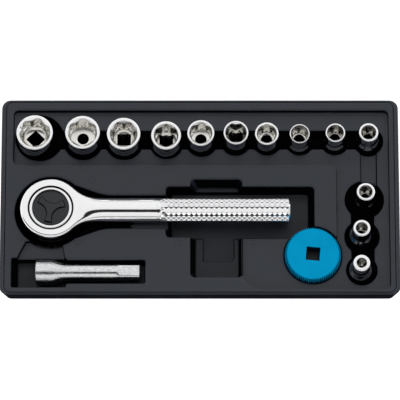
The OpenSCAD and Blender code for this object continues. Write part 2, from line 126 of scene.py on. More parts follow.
def grain_group() -> bpy.types.NodeTree:
    """Builds the fine grain that moulded plastic takes from its mould.

    Returns:
        A group with a Height output, for a Bump node, and a Mask output.
    """
    tree = new_group("mould_grain", {"Scale": 900.0, "Coarse": 0.3}, ["Height", "Mask"])
    nodes, links = tree.nodes, tree.links
    place = add_node(tree, "TexCoord")
    fine = add_node(tree, "TexNoise", Detail=2.0)
    broad = add_node(tree, "TexNoise", Scale=60.0, Detail=3.0)
    mix = add_node(tree, "Mix")
    links.new(place.outputs["Object"], fine.inputs["Vector"])
    links.new(place.outputs["Object"], broad.inputs["Vector"])
    links.new(nodes["in"].outputs["Scale"], fine.inputs["Scale"])
    links.new(nodes["in"].outputs["Coarse"], mix.inputs[0])
    links.new(fine.outputs["Fac"], mix.inputs[2])
    links.new(broad.outputs["Fac"], mix.inputs[3])
    links.new(mix.outputs[0], nodes["out"].inputs["Height"])
    links.new(broad.outputs["Fac"], nodes["out"].inputs["Mask"])
    return tree


def hairline_group() -> bpy.types.NodeTree:
    """Builds the fine scratches and smears that plated tools pick up.

    Returns:
        A group whose Roughness output runs between its Low and High inputs, with a Height output.
    """
    tree = new_group(
        "hairlines", {"Low": 0.06, "High": 0.2, "Scale": 300.0, "Stretch": 12.0}, ["Roughness", "Height"]
    )
    nodes, links = tree.nodes, tree.links
    place = add_node(tree, "TexCoord")
    turn = add_node(tree, "Mapping", Rotation=(0.3, 0.2, 0.5))
    squeeze = add_node(tree, "CombineXYZ", X=1.0, Z=1.0)
    lines = add_node(tree, "TexNoise", Detail=4.0)
    smears = add_node(tree, "TexNoise", Scale=45.0, Detail=3.0)
    blend = add_node(tree, "Math")
    blend.operation = "MULTIPLY"
    spread = add_node(tree, "MapRange", From_Min=0.12, From_Max=0.42)
    links.new(place.outputs["Object"], turn.inputs["Vector"])
    links.new(nodes["in"].outputs["Stretch"], squeeze.inputs["Y"])
    links.new(squeeze.outputs["Vector"], turn.inputs["Scale"])
    links.new(turn.outputs["Vector"], lines.inputs["Vector"])
    links.new(nodes["in"].outputs["Scale"], lines.inputs["Scale"])
    links.new(place.outputs["Object"], smears.inputs["Vector"])
    links.new(lines.outputs["Fac"], blend.inputs[0])
    links.new(smears.outputs["Fac"], blend.inputs[1])
    links.new(blend.outputs["Value"], spread.inputs["Value"])
    links.new(nodes["in"].outputs["Low"], spread.inputs["To Min"])
    links.new(nodes["in"].outputs["High"], spread.inputs["To Max"])
    links.new(spread.outputs["Result"], nodes["out"].inputs["Roughness"])
    links.new(lines.outputs["Fac"], nodes["out"].inputs["Height"])
    return tree


GRAIN = grain_group()
HAIRLINES = hairline_group()


# ---- finishes ----


def new_material(name: str) -> tuple[bpy.types.Material, bpy.types.Node]:
    """Starts a material with nodes.

    Args:
        name: Name of the material.

    Returns:
        The material and its Principled BSDF node.
    """
    material = bpy.data.materials.new(name)
    material.use_nodes = True
    return material, material.node_tree.nodes["Principled BSDF"]


def tone_mix(
    material: bpy.types.Material, mask: bpy.types.NodeSocket, dark: Sequence[float], light: Sequence[float]
) -> None:
    """Drives the base colour between two tones by a mask.

    Args:
        material: The material to dress.
        mask: Output that gives the mask.
        dark: Colour where the mask is low.
        light: Colour where the mask is high.
    """
    nodes, links = material.node_tree.nodes, material.node_tree.links
    ramp = nodes.new("ShaderNodeValToRGB")
    ramp.color_ramp.elements[0].position = 0.35
    ramp.color_ramp.elements[0].color = (*dark, 1.0)
    ramp.color_ramp.elements[1].position = 0.65
    ramp.color_ramp.elements[1].color = (*light, 1.0)
    links.new(mask, ramp.inputs["Fac"])
    links.new(ramp.outputs["Color"], nodes["Principled BSDF"].inputs["Base Color"])


@dataclass(frozen=True)
class MouldedPlastic:
    """Injection moulded plastic with a fine grain."""

    name: str
    dark: tuple[float, float, float]
    light: tuple[float, float, float]
    smooth: float = 0.34
    rough: float = 0.46
    grain_scale: float = 900.0
    grain_depth: float = 0.12
    gloss: float = 0.5

    def build(self) -> bpy.types.Material:
        """Builds the material."""
        material, shader = new_material(self.name)
        nodes, links = material.node_tree.nodes, material.node_tree.links
        grain = nodes.new("ShaderNodeGroup")
        grain.node_tree = GRAIN
        grain.inputs["Scale"].default_value = self.grain_scale
        shader.inputs["Specular IOR Level"].default_value = self.gloss
        tree = material.node_tree
        spread = add_node(tree, "MapRange", From_Min=0.35, From_Max=0.65, To_Min=self.smooth, To_Max=self.rough)
        bump = add_node(tree, "Bump", Strength=self.grain_depth, Distance=BUMP_DISTANCE)
        tone_mix(material, grain.outputs["Mask"], self.dark, self.light)
        links.new(grain.outputs["Mask"], spread.inputs["Value"])
        links.new(spread.outputs["Result"], shader.inputs["Roughness"])
        links.new(grain.outputs["Height"], bump.inputs["Height"])
        links.new(bump.outputs["Normal"], shader.inputs["Normal"])
        return material


@dataclass(frozen=True)
class PlatedMetal:
    """Metal with a bright or satin finish and fine scratches."""

    name: str
    dark: tuple[float, float, float]
    light: tuple[float, float, float]
    smooth: float = 0.05
    rough: float = 0.16
    scale: float = 300.0
    stretch: float = 12.0
    depth: float = 0.02

    def build(self) -> bpy.types.Material:
        """Builds the material."""
        material, shader = new_material(self.name)
        nodes, links = material.node_tree.nodes, material.node_tree.links
        shader.inputs["Metallic"].default_value = 1.0
        lines = nodes.new("ShaderNodeGroup")
        lines.node_tree = HAIRLINES
        lines.inputs["Low"].default_value = self.smooth
        lines.inputs["High"].default_value = self.rough
        lines.inputs["Scale"].default_value = self.scale
        lines.inputs["Stretch"].default_value = self.stretch
        bump = add_node(material.node_tree, "Bump", Strength=self.depth, Distance=BUMP_DISTANCE)
        tone_mix(material, lines.outputs["Height"], self.dark, self.light)
        links.new(lines.outputs["Roughness"], shader.inputs["Roughness"])
        links.new(lines.outputs["Height"], bump.inputs["Height"])
        links.new(bump.outputs["Normal"], shader.inputs["Normal"])
        return material


CASE_PLASTIC = MouldedPlastic("case_plastic", (0.014, 0.018, 0.028), (0.018, 0.024, 0.036)).build()
# Darker, unglossy copy of the case plastic: painted shade on the shell's upright sides.
SHADED_SIDE_PLASTIC = MouldedPlastic("case_side_shaded_plastic", (0.006, 0.007, 0.009), (0.009, 0.010, 0.013), gloss=0.0).build()
TRAY_PLASTIC = MouldedPlastic("tray_plastic", (0.014, 0.018, 0.028), (0.019, 0.025, 0.037)).build()
# Darker copy of the tray plastic: painted shade on recess floors and on the faint moulded marks.
SHADED_TRAY_PLASTIC = MouldedPlastic("shaded_tray_plastic", (0.011, 0.014, 0.020), (0.014, 0.018, 0.025), gloss=0.3).build()
# Near-black plastic: painted shade on steep walls, deep wells and gaps of the tray, and on the dial's upright faces.
BLACK_SHADE_PLASTIC = MouldedPlastic("black_shade_plastic", (0.002, 0.002, 0.003), (0.003, 0.003, 0.004), gloss=0.0).build()
DIAL_PLASTIC = MouldedPlastic(
    "dial_plastic", (0.012, 0.015, 0.019), (0.018, 0.021, 0.026), 0.3, 0.4, gloss=0.42
).build()
BLUE_PLASTIC = MouldedPlastic(
    "blue_plastic", (0.0, 0.37, 0.70), (0.0, 0.41, 0.76), 0.45, 0.6, grain_depth=0.08, gloss=0.03
).build()
SHADED_BLUE = MouldedPlastic(
    "shaded_blue_plastic", (0.0, 0.02, 0.045), (0.0, 0.028, 0.06), 0.45, 0.6, grain_depth=0.08, gloss=0.0
).build()
POLISHED = PlatedMetal("polished_chrome", (0.88, 0.88, 0.89), (0.93, 0.93, 0.94)).build()
SATIN = PlatedMetal("satin_chrome", (0.60, 0.61, 0.62), (0.80, 0.81, 0.82), 0.16, 0.34, 420.0, 3.0, 0.05).build()
KNURLED = PlatedMetal("knurled_chrome", (0.84, 0.84, 0.85), (0.93, 0.93, 0.94), 0.08, 0.2, 420.0, 3.0, 0.03).build()
BORED = PlatedMetal("bored_chrome", (0.84, 0.825, 0.79), (0.93, 0.92, 0.88), 0.2, 0.34, 500.0, 6.0, 0.06).build()
DARK_STEEL = PlatedMetal("dark_steel", (0.22, 0.22, 0.23), (0.3, 0.3, 0.31), 0.25, 0.42, 400.0, 8.0, 0.08).build()
# Near-black steel: painted shade in the ratchet head's bore and in the groove round the cover ring.
BORE_SHADE_STEEL = PlatedMetal("bore_shade_steel", (0.02, 0.02, 0.021), (0.04, 0.04, 0.042), 0.5, 0.7, 400.0, 8.0, 0.08).build()
SPRING_STEEL = PlatedMetal("spring_steel", (0.42, 0.42, 0.44), (0.5, 0.5, 0.52), 0.2, 0.35).build()


# ---- shared shapes, in millimetres ----


@dataclass(frozen=True)
class Ring:
    """One horizontal ring of a lofted piece.

    Its radius is a number, or a function of the angle round the axis. The strip of faces between
    the ring before it and this one takes the material with number paint.
    """

    z: float
    radius: Radius
    paint: int = 0

    def at(self, angle: float) -> float:
        """Gives the ring's radius at an angle in radians."""
        return self.radius(angle) if callable(self.radius) else self.radius


def fillet(z: float, radius: float, dz: float, dr: float, steps: int = 4, paint: int = 0) -> list[Ring]:
    """Rounds the corner of a profile with a quarter of an ellipse.

    Args:
        z: Height where the arc starts.
        radius: Radius where the arc starts.
        dz: Change of height over the arc.
        dr: Change of radius over the arc.
        steps: Number of rings in the arc.
        paint: Material number of its faces.

    Returns:
        Rings that leave the start along Z and end along the radius.
    """
    turns = [math.pi / 2 * (i + 1) / steps for i in range(steps)]
    return [Ring(z + dz * math.sin(a), radius + dr * (1 - math.cos(a)), paint) for a in turns]


def polygon_radius(apothem: float, sides: int, turn: float, cap: float) -> Callable[[float], float]:
    """Gives the radius of a regular polygon with corners cut at a circle.

    Args:
        apothem: Distance from the centre to each flat.
        sides: Number of flats.
        turn: Turn of the polygon in degrees; at 0 a corner of a hexagon points along X.
        cap: Largest radius.

    Returns:
        A function of the angle in radians.
    """
    step = 2 * math.pi / sides
    start = math.radians(turn) + (0 if sides == 6 else step / 2)

    def radius(angle: float) -> float:
        """Gives the capped radius at an angle."""
        return min(apothem / math.cos((angle - start) % step - step / 2), cap)

    return radius


def widest(*shapes: Radius) -> Callable[[float], float]:
    """Gives the outermost of several ring shapes at each angle."""

    def radius(angle: float) -> float:
        """Gives the largest radius at an angle."""
        return max(s(angle) if callable(s) else s for s in shapes)

    return radius


def lofted(rings: Sequence[Ring], segments: int, turn: float = 0.0, cap: bool = True) -> bmesh.types.BMesh:
    """Lofts a skin through rings round the Z axis.

    Args:
        rings: The rings in order.
        segments: Number of points on each ring.
        turn: Turn of the first point in degrees.
        cap: Whether the first and last ring are closed with a face.

    Returns:
        The mesh, round the origin.
    """
    bm = bmesh.new()
    verts = bmesh.ops.create_circle(bm, radius=1.0, segments=segments)["verts"]
    bmesh.ops.rotate(bm, verts=verts, matrix=Matrix.Rotation(math.radians(turn), 3, "Z"))
    edges = bm.edges[:]
    for number, ring in enumerate(rings):
        if number:
            grown = bmesh.ops.extrude_edge_only(bm, edges=edges)["geom"]
            verts = [g for g in grown if isinstance(g, bmesh.types.BMVert)]
            edges = [g for g in grown if isinstance(g, bmesh.types.BMEdge)]
            edges = [e for e in edges if all(v in set(verts) for v in e.verts)]
            for edge in edges:
                for face in edge.link_faces:
                    face.material_index = ring.paint
        for vert in verts:
            angle = math.atan2(vert.co.y, vert.co.x)
            reach = ring.at(angle)
            vert.co = (reach * math.cos(angle), reach * math.sin(angle), ring.z)
        if cap and number == 0:
            bmesh.ops.contextual_create(bm, geom=edges)
    if cap:
        for face in bmesh.ops.contextual_create(bm, geom=edges)["faces"]:
            face.material_index = rings[-1].paint
    return bm


def finished(
    bm: bmesh.types.BMesh,
    name: str,
    body: str,
    stands_for: str,
    paints: Sequence[bpy.types.Material],
    sharp: float = 38.0,
) -> bpy.types.Object:
    """Turns a mesh in millimetres into a finished piece in the frame.

    Args:
        bm: The mesh, which is used up.
        name: Name of the piece.
        body: Body that it moves with.
        stands_for: CAD node that it is shown in place of.
        paints: Materials, in the order of the faces' numbers.
        sharp: Angle in degrees above which an edge stays crisp.

    Returns:
        The piece.
    """
    bmesh.ops.remove_doubles(bm, verts=bm.verts, dist=1e-4)
    bmesh.ops.recalc_face_normals(bm, faces=bm.faces)
    bmesh.ops.scale(bm, vec=(MM, MM, MM), verts=bm.verts)
    mesh = bpy.data.meshes.new(name)
    bm.to_mesh(mesh)
    bm.free()
    for paint in paints:
        mesh.materials.append(paint)
    mesh.polygons.foreach_set("use_smooth", [True] * len(mesh.polygons))
    mesh.set_sharp_from_angle(angle=math.radians(sharp))
    piece = bpy.data.objects.new(name, mesh)
    bpy.context.scene.collection.objects.link(piece)
    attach(piece, body)
    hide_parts(stands_for)
    log.info("%s: %d faces", name, len(mesh.polygons))
    return piece


def box_mm(node: str) -> tuple[Vector, Vector]:
    """Gives the lowest and highest corners of a CAD node in millimetres."""
    low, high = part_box(node)
    return Vector(low) / MM, Vector(high) / MM


def centre_mm(node: str) -> Vector:
    """Gives the middle of a CAD node's box in millimetres."""
    low, high = box_mm(node)
    return (low + high) / 2


# ---- case ----


def plan_block(
    corners: Sequence[tuple[float, float, float]], low: float, high: float, steps: int = 6
) -> bmesh.types.BMesh:
    """Builds an upright block from its plan.

    Args:
        corners: x, y and corner radius of each corner, anticlockwise.
        low: Height of its floor.
        high: Height of its top.
        steps: Segments of each rounded corner.

    Returns:
        The mesh.
    """
    bm = bmesh.new()
    plan = [bm.verts.new((x, y, low)) for x, y, _ in corners]
    bm.faces.new(plan)
    radii = [r for _, _, r in corners]
    for radius in sorted({r for r in radii if r > 0}):
        round_these = [v for v, r in zip(plan, radii) if r == radius]
        bmesh.ops.bevel(
            bm, geom=round_these, offset=radius, offset_type="OFFSET", segments=steps, profile=0.5,
            affect="VERTICES", material=-1,
        )
    lift_top(bm, high - low)
    return bm


def lift_top(bm: bmesh.types.BMesh, height: float) -> None:
    """Raises a flat plan into a closed block of some height."""
    top = bmesh.ops.extrude_face_region(bm, geom=bm.faces[:])["geom"]
    moved = [g for g in top if isinstance(g, bmesh.types.BMVert)]
    bmesh.ops.translate(bm, vec=(0, 0, height), verts=moved)
    bmesh.ops.recalc_face_normals(bm, faces=bm.faces)


def tapered_block(
    low: Sequence[float], high: Sequence[float], slope: Sequence[float], radius: float
) -> bmesh.types.BMesh:
    """Builds a rectangular block that narrows towards its floor.

    Args:
        low: Lowest corner, at the top's size.
        high: Highest corner.
        slope: How far the left, right, front and back walls lean in at the floor.
        radius: Radius of its upright corners.

    Returns:
        The mesh, which runs on a little above its top.
    """
    over = 2.0
    grow = 1 + over / (high[2] - low[2])
    left, right = low[0] + slope[0], high[0] - slope[1]
    front, back = low[1] + slope[2], high[1] - slope[3]
    plan = [(left, front, radius), (right, front, radius), (right, back, radius), (left, back, radius)]
    bm = plan_block(plan, low[2], high[2] + over)
    top = [v for v in bm.verts if v.co.z > (low[2] + high[2]) / 2]
    wide = Vector((right - left + (slope[0] + slope[1]) * grow, back - front + (slope[2] + slope[3]) * grow))
    for vert in top:
        across = (vert.co.x - left) / (right - left)
        along = (vert.co.y - front) / (back - front)
        vert.co.x = left - slope[0] * grow + across * wide.x
        vert.co.y = front - slope[2] * grow + along * wide.y
    return bm


def cone_block(x: float, y: float, low: float, high: float, foot: float, mouth: float) -> bmesh.types.BMesh:
    """Builds an upright round block with one radius at its foot and one at its mouth."""
    bm = lofted([Ring(low, foot), Ring(high, mouth)], 64)
    bmesh.ops.translate(bm, vec=(x, y, 0), verts=bm.verts)
    return bm


@dataclass
class Case:
    """Outer shell and moulded tray."""

    corner: float = 6.5
    draft: float = 2.2
    wall_side: float = 3.2
    wall_front: float = 1.4
    gap: float = 0.2
    step: float = 5.0
    pocket_floor: float = 3.2
    rim: tuple[float, float, float, float] = (8.8, 7.2, 4.4, 8.0)
    back_strip: float = 40.7
    right_strip: float = 37.9
    tongue: float = 15.8
    voxel: float = 0.65
    kept_faces: float = 0.32
    steep: float = 0.45
    head_gap: tuple[float, float] = (58.0, 21.0)
    stem_front: float = 8.6
    mark_height: float = 0.14
    ring_marks: tuple[tuple[float, float, float], ...] = (
        (-77.9, 12.9, 17.15), (-15.7, -34.3, 17.15), (-128.0, -30.6, 17.15), (-87.0, -34.3, 17.15),
        (109.0, 29.0, 12.15),
    )
    dash_marks: tuple[tuple[float, float, float], ...] = ((38.0, -32.9, 12.15), (129.0, -60.2, 12.15))
    low: Vector = field(default_factory=lambda: box_mm("case_shell")[0])
    high: Vector = field(default_factory=lambda: box_mm("case_shell")[1])

    def __post_init__(self) -> None:
        """Works out the levels and edges that the pockets share."""
        self.rim_z = self.high.z
        self.low_z = self.rim_z - self.step
        self.x0 = self.low.x + self.rim[0]
        self.x1 = self.high.x - self.rim[1]
        self.y0 = self.low.y + self.rim[2]
        self.y1 = self.high.y - self.rim[3]
        self.plateau_y = self.y1 - self.back_strip
        self.plateau_x = self.x1 - self.right_strip
        self.head = centre_mm("cover_ring")

    def shell(self) -> bpy.types.Object:
        """Builds the outer shell with its rounded edges."""
        half = (self.high - self.low) / 2
        plan = [(half.x, -half.y), (half.x, half.y), (-half.x, half.y), (-half.x, -half.y)]
        bm = plan_block([(x, y, self.corner) for x, y in plan], 0, self.rim_z, 12)
        floor = [v for v in bm.verts if v.co.z < 1]
        factor = (1 - self.draft / half.x, 1 - self.draft / half.y, 1)
        bmesh.ops.scale(bm, vec=factor, verts=floor)
        edges = [e for e in bm.edges if abs(e.verts[0].co.z - e.verts[1].co.z) < 0.1]
        bmesh.ops.bevel(
            bm, geom=edges, offset=1.1, offset_type="OFFSET", segments=4, profile=0.5, affect="EDGES", material=-1
        )
        top = max(bm.faces, key=lambda f: f.calc_center_median().z)
        rings = bmesh.ops.extrude_face_region(bm, geom=[top])["geom"]
        bmesh.ops.delete(bm, geom=[top], context="FACES_ONLY")
        rim = [g for g in rings if isinstance(g, bmesh.types.BMVert)]
        reach = Vector((max(v.co.x for v in rim), max(v.co.y for v in rim)))
        inner = Vector((half.x - self.wall_side, half.y - self.wall_front))
        bmesh.ops.scale(bm, vec=(inner.x / reach.x, inner.y / reach.y, 1), verts=rim)
        lid = [g for g in rings if isinstance(g, bmesh.types.BMFace)]
        deep = bmesh.ops.extrude_face_region(bm, geom=lid)["geom"]
        bmesh.ops.delete(bm, geom=lid, context="FACES_ONLY")
        sunk = [g for g in deep if isinstance(g, bmesh.types.BMVert)]
        bmesh.ops.translate(bm, vec=(0, 0, 1.6 - self.rim_z), verts=sunk)
        bm.normal_update()
        # Upright faces take the darker, unglossy copy of the case plastic: painted shade on the shell's sides.
        for face in bm.faces:
            if abs(face.normal.z) < 0.5:
                face.material_index = 1
        return finished(bm, "shell", "case", "case_shell", [CASE_PLASTIC, SHADED_SIDE_PLASTIC])

    def lower_level(self) -> list[bmesh.types.BMesh]:
        """Builds the cutters of the level round the raised middle."""
        handle_low, _ = self.handle_recess()
        stem_right = self.stem()[1][0]
        tongue_end = handle_low[1] - 1
        plan = [
            (self.x0, self.y1, 3.5), (self.x0, self.plateau_y, 3.5), (self.plateau_x, self.plateau_y, 4.5),
            (self.plateau_x, tongue_end, 3.0), (self.plateau_x - self.tongue, tongue_end, 3.0),
            (self.plateau_x - self.tongue, handle_low[1] + 1, 0.0), (stem_right, handle_low[1] + 1, 0.0),
            (stem_right, self.y0 + self.stem_front, 2.0), (stem_right + 9, self.y0, 5.0), (self.x1, self.y0, 3.5),
            (self.x1, self.y1, 3.5),
        ]
        return [plan_block(plan, self.low_z, self.rim_z + 1)]

    def handle_recess(self) -> tuple[list[float], list[float]]:
        """Gives the corners of the recess under the grip, at the rim."""
        head = centre_mm("cover_ring")
        end = box_mm("ratchet_body")[1].x
        return (
            [end - 88.9, head.y - 19, self.pocket_floor],
            [self.plateau_x - self.tongue, head.y + 18.9, self.rim_z],
        )

    def stem(self) -> tuple[list[float], list[float]]:
        """Gives the corners of the finger recess that crosses under the handle, at the rim."""
        low, high = self.handle_recess()
        left = low[0] + 17.5
        return [left, self.y0 + self.stem_front, 7.2], [left + 37.6, high[1] + 5.6, self.rim_z]

    def wells(self) -> list[bmesh.types.BMesh]:
        """Builds the cutters of the socket wells and the channels that join them."""
        cutters = []
        centres = []
        for size, (lean, play) in WELLS.items():
            node = f"socket_{size:02d}"
            low, high = box_mm(node)
            x, y = centre_mm(node).x - lean[0], centre_mm(node).y - lean[1]
            mouth = (high.x - low.x) / 2 + 1.7 + play
            cutters.append(cone_block(x, y, self.pocket_floor, self.low_z + 1, mouth - 0.6, mouth))
            centres.append((x, y))
        row_y, column_x, link_x = self.y1 - 20.9, self.x1 - 19.3, self.x1 - 14.5
        spans = [
            ((centres[0][0], row_y - 6.9), (centres[9][0], row_y + 6.9), self.pocket_floor),
            ((column_x - 8.1, centres[12][1]), (column_x + 8.1, centres[10][1]), self.pocket_floor),
            ((link_x - 5.7, centres[10][1]), (link_x + 5.7, row_y), self.low_z - 3),
        ]
        for (ax, ay), (bx, by), floor in spans:
            plan = [(ax, ay, 0), (bx, ay, 0), (bx, by, 0), (ax, by, 0)]
            cutters.append(plan_block(plan, floor, self.low_z + 1))
        return cutters

    def ratchet_pocket(self) -> list[bmesh.types.BMesh]:
        """Builds the cutters of the pocket of the ratchet and of the finger recess across it."""
        head = centre_mm("cover_ring")
        bed = 11.65
        slot = 12.1
        top = self.rim_z + 1
        low, high = self.handle_recess()
        stem_low, stem_high = self.stem()
        flare = [(12, -21.8, 0), (38, -slot, 6), (low[0] + 6 - head.x, -slot, 0), (low[0] + 6 - head.x, slot, 0),
                 (38, slot, 6), (12, 21.8, 0)]
        reach = centre_mm("extension_bar").y + 8.8 - head.y
        channel = [(-17.7, -21.8, 0), (-24.4, reach, 0), (10.3, reach, 0), (8.1, -21.8, 0)]
        shifted = [
            ([(x + head.x, y + head.y, r) for x, y, r in flare], bed),
            ([(x + head.x, y + head.y, r) for x, y, r in channel], self.low_z),
        ]
        cutters = [plan_block(plan, floor, top) for plan, floor in shifted]
        cutters.append(cone_block(head.x, head.y, self.pocket_floor, top, 25.3, 26.3))
        cutters.append(tapered_block(low, high, (4.5, 4.5, 2, 2), 2.5))
        cutters.append(tapered_block(stem_low, stem_high, (4.5, 3, 2, 4), 2.5))
        x0, x1, y0 = stem_low[0] + 9.2, stem_high[0] - 5.8, stem_low[1] + 14.2
        slot_plan = [(x0, y0, 1), (x1, y0, 3.5), (x1, head.y, 0), (x0, head.y, 0)]
        cutters.append(plan_block(slot_plan, self.pocket_floor, top))
        return cutters

    def extension_pocket(self) -> list[bmesh.types.BMesh]:
        """Builds the cutters of the pocket of the extension bar."""
        low, high = box_mm("extension_bar")
        middle = (low.y + high.y) / 2
        front = low.y - 3.6
        wall = low.x + 22
        wide = tapered_block(
            (self.x0 - 0.6, front, self.pocket_floor), (wall, high.y + 0.6, self.rim_z), (4.5, 0, 0, 0), 1.0
        )
        plan = [(wall - 1, front + 2.8, 0), (high.x + 3.2, front + 2.8, 1), (high.x + 3.2, middle + 7.8, 1),
                (wall - 1, middle + 7.8, 0)]
        return [wide, plan_block(plan, self.pocket_floor, self.rim_z + 1)]

    def disc_pocket(self) -> list[bmesh.types.BMesh]:
        """Builds the cutter of the round pocket of the spinner disc."""
        low, high = box_mm("spinner_disc")
        radius = (high.x - low.x) / 2 + 0.35
        return [cone_block((low.x + high.x) / 2, (low.y + high.y) / 2, low.z - 0.25, self.rim_z + 1, radius, radius)]

    def tray(self) -> bpy.types.Object:
        """Builds the tray: a slab with its pockets cut out and every edge softened."""
        inner = (self.high.x - self.wall_side - self.gap, self.high.y - self.wall_front - self.gap)
        corner = self.corner - self.wall_front - self.gap
        plan = [(inner[0], -inner[1]), (inner[0], inner[1]), (-inner[0], inner[1]), (-inner[0], -inner[1])]
        slab = loose_object("tray_slab", plan_block([(x, y, corner) for x, y in plan], 1.65, self.rim_z, 12))
        pockets = bpy.data.collections.new("pockets")
        cutters = self.lower_level() + self.wells() + self.ratchet_pocket()
        cutters += self.extension_pocket() + self.disc_pocket()
        for cutter in cutters:
            pockets.objects.link(loose_object("pocket", cutter))
        cut = slab.modifiers.new("pockets", "BOOLEAN")
        cut.operand_type = "COLLECTION"
        cut.collection = pockets
        cut.solver = "EXACT"
        soften = slab.modifiers.new("soften", "REMESH")
        soften.mode = "VOXEL"
        soften.voxel_size = self.voxel
        smooth = slab.modifiers.new("smooth", "SMOOTH")
        smooth.iterations = 2
        thin = slab.modifiers.new("thin", "DECIMATE")
        thin.ratio = self.kept_faces
        bpy.context.scene.collection.objects.link(slab)
        bpy.context.scene.collection.children.link(pockets)
        drawn = slab.evaluated_get(bpy.context.evaluated_depsgraph_get())
        bm = bmesh.new()
        bm.from_mesh(drawn.to_mesh())
        drawn.to_mesh_clear()
        for spare in [slab, *pockets.objects]:
            bpy.data.objects.remove(spare)
        bpy.data.collections.remove(pockets)
        # Recesses take the darker copy of the plastic, and steep walls, deep wells and gaps take near-black plastic:
        # painted shade.
        paints = [TRAY_PLASTIC, SHADED_TRAY_PLASTIC, BLACK_SHADE_PLASTIC]
        bm.normal_update()
        for face in bm.faces:
            face.material_index = self.depth_paint(face.calc_center_median(), abs(face.normal.z))
        return finished(bm, "tray", "case", "tool_tray", paints, 60.0)

    def depth_paint(self, place: Vector, flatness: float) -> int:
        """Gives the number of the tray's material at a place, where 1 and 2 are painted shade.

        Args:
            place: Middle of a face.
            flatness: How level the face is, from 0 for a wall to 1 for a floor.

        Returns:
            0 in the open, 1 for painted shade in a recess, or 2 for near-black painted shade on steep walls, deep in
            the wells and in a narrow gap that no light reaches.
        """
        if place.z > self.rim_z - 0.9:
            return 0
        round_head = abs(place.y - self.head.y) < self.head_gap[1] and place.x < self.head.x + self.head_gap[0]
        if round_head or flatness < self.steep:
            return 2
        if place.z > self.low_z - 1.2:
            return 0
        well_z = self.low_z - 3.4
        in_link = place.x > self.x1 - 21 and place.y > self.y1 - 52
        if in_link and place.z > well_z:
            return 0
        in_wells = place.y > self.plateau_y or place.x > self.x1 - 34
        return 2 if in_wells and place.z < well_z else 1

    def marks(self) -> bpy.types.Object:
        """Builds the faint moulded rings and dashes on the tray's open faces."""
        bm = bmesh.new()
        ring_r, segments = 2, 20
        for x, y, z in self.ring_marks:
            for segment in range(segments):
                turn = 2 * math.pi * segment / segments
                spot = Matrix.Translation((x + ring_r * math.cos(turn), y + ring_r * math.sin(turn), z))
                across = Matrix.Rotation(turn, 4, "Z") @ Matrix.Diagonal((0.35, 0.64, self.mark_height, 1))
                bmesh.ops.create_cube(bm, size=1, matrix=spot @ across)
        for x, y, z in self.dash_marks:
            for shift in (-1.2, 1.2):
                bar = Matrix.Translation((x, y + shift, z)) @ Matrix.Diagonal((3.6, 0.5, self.mark_height, 1))
                bmesh.ops.create_cube(bm, size=1, matrix=bar)
        # The marks take the darker tray plastic, painted shade that makes their low relief show.
        return finished(bm, "tray_marks", "case", "tool_tray", [SHADED_TRAY_PLASTIC])

    def build(self) -> None:
        """Builds the shell, the tray and the marks in it."""
        self.shell()
        self.tray()
        self.marks()


def loose_object(name: str, bm: bmesh.types.BMesh) -> bpy.types.Object:
    """Makes an object that no scene shows yet, and uses up its mesh."""
    bmesh.ops.recalc_face_normals(bm, faces=bm.faces)
    mesh = bpy.data.meshes.new(name)
    bm.to_mesh(mesh)
    bm.free()
    return bpy.data.objects.new(name, mesh)


# ---- sockets ----

# Where each socket leans from the middle of its well, and the well's extra width, by hexagon size.
WELLS: dict[int, tuple[tuple[float, float], float]] = {
    19: ((-2.8, -1.9), 2.6), 18: ((0.0, 0.7), 0.0), 17: ((0.0, 0.0), 0.0), 15: ((-0.2, -0.8), 0.0),
    14: ((-0.6, 0.4), 0.0), 13: ((0.1, 0.7), 0.0), 12: ((-0.5, 0.0), 0.0), 11: ((-0.4, 0.0), 0.0),
    10: ((-0.2, 0.6), 0.0), 9: ((-0.4, 0.6), 0.6), 8: ((0.3, 0.4), 3.9), 7: ((-0.9, 1.0), 2.4),
    6: ((-0.9, 0.0), 1.0),
}


